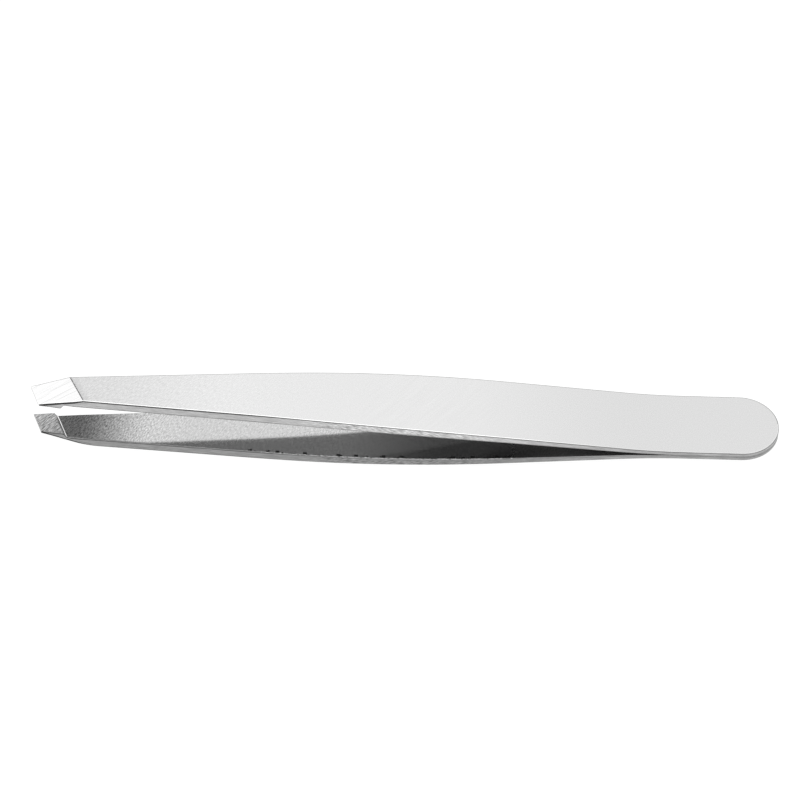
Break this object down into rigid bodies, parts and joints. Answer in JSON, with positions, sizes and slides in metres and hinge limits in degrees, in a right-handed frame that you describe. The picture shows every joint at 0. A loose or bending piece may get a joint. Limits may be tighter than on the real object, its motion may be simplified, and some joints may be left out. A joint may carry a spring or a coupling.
{
  "type": "slant tweezers",
  "caption": "Tweezers of two bowed spring-steel arms, spot-welded at a flat round tail and tapering to slanted, bevelled gripping tips.",
  "frame": {"origin": "centre of the bounding box, in the plane where the two arms meet", "axes": "+X along the tweezers from the tips to the tail, +Y across the arms towards the side on which the slanted tips reach furthest, +Z the way the upper arm opens"},
  "size_m": [0.095, 0.0098, 0.0084],
  "materials": {
    "arm_steel": "fine satin, ground brighter on the tip bevels and left darker on the inner faces",
    "weld_metal": "fused, inside the joint"
  },
  "bodies": {
    "tail": {"upper_tail": "arm_steel", "lower_tail": "arm_steel", "weld_nuggets": "weld_metal"},
    "upper_blade": {"upper_blade": "arm_steel"},
    "lower_blade": {"lower_blade": "arm_steel"}
  },
  "joints": [
    {"name": "upper_flexure", "type": "hinge", "parent": "tail", "child": "upper_blade", "pos_m": [0.0225, 0, 0.00069], "axis": [0, -1, 0], "range_deg": [0, 2], "stiffness_Nm_per_rad": 1.8},
    {"name": "lower_flexure", "type": "hinge", "parent": "tail", "child": "lower_blade", "pos_m": [0.0225, 0, -0.00069], "axis": [0, 1, 0], "range_deg": [0, 2], "stiffness_Nm_per_rad": 1.8}
  ]
}
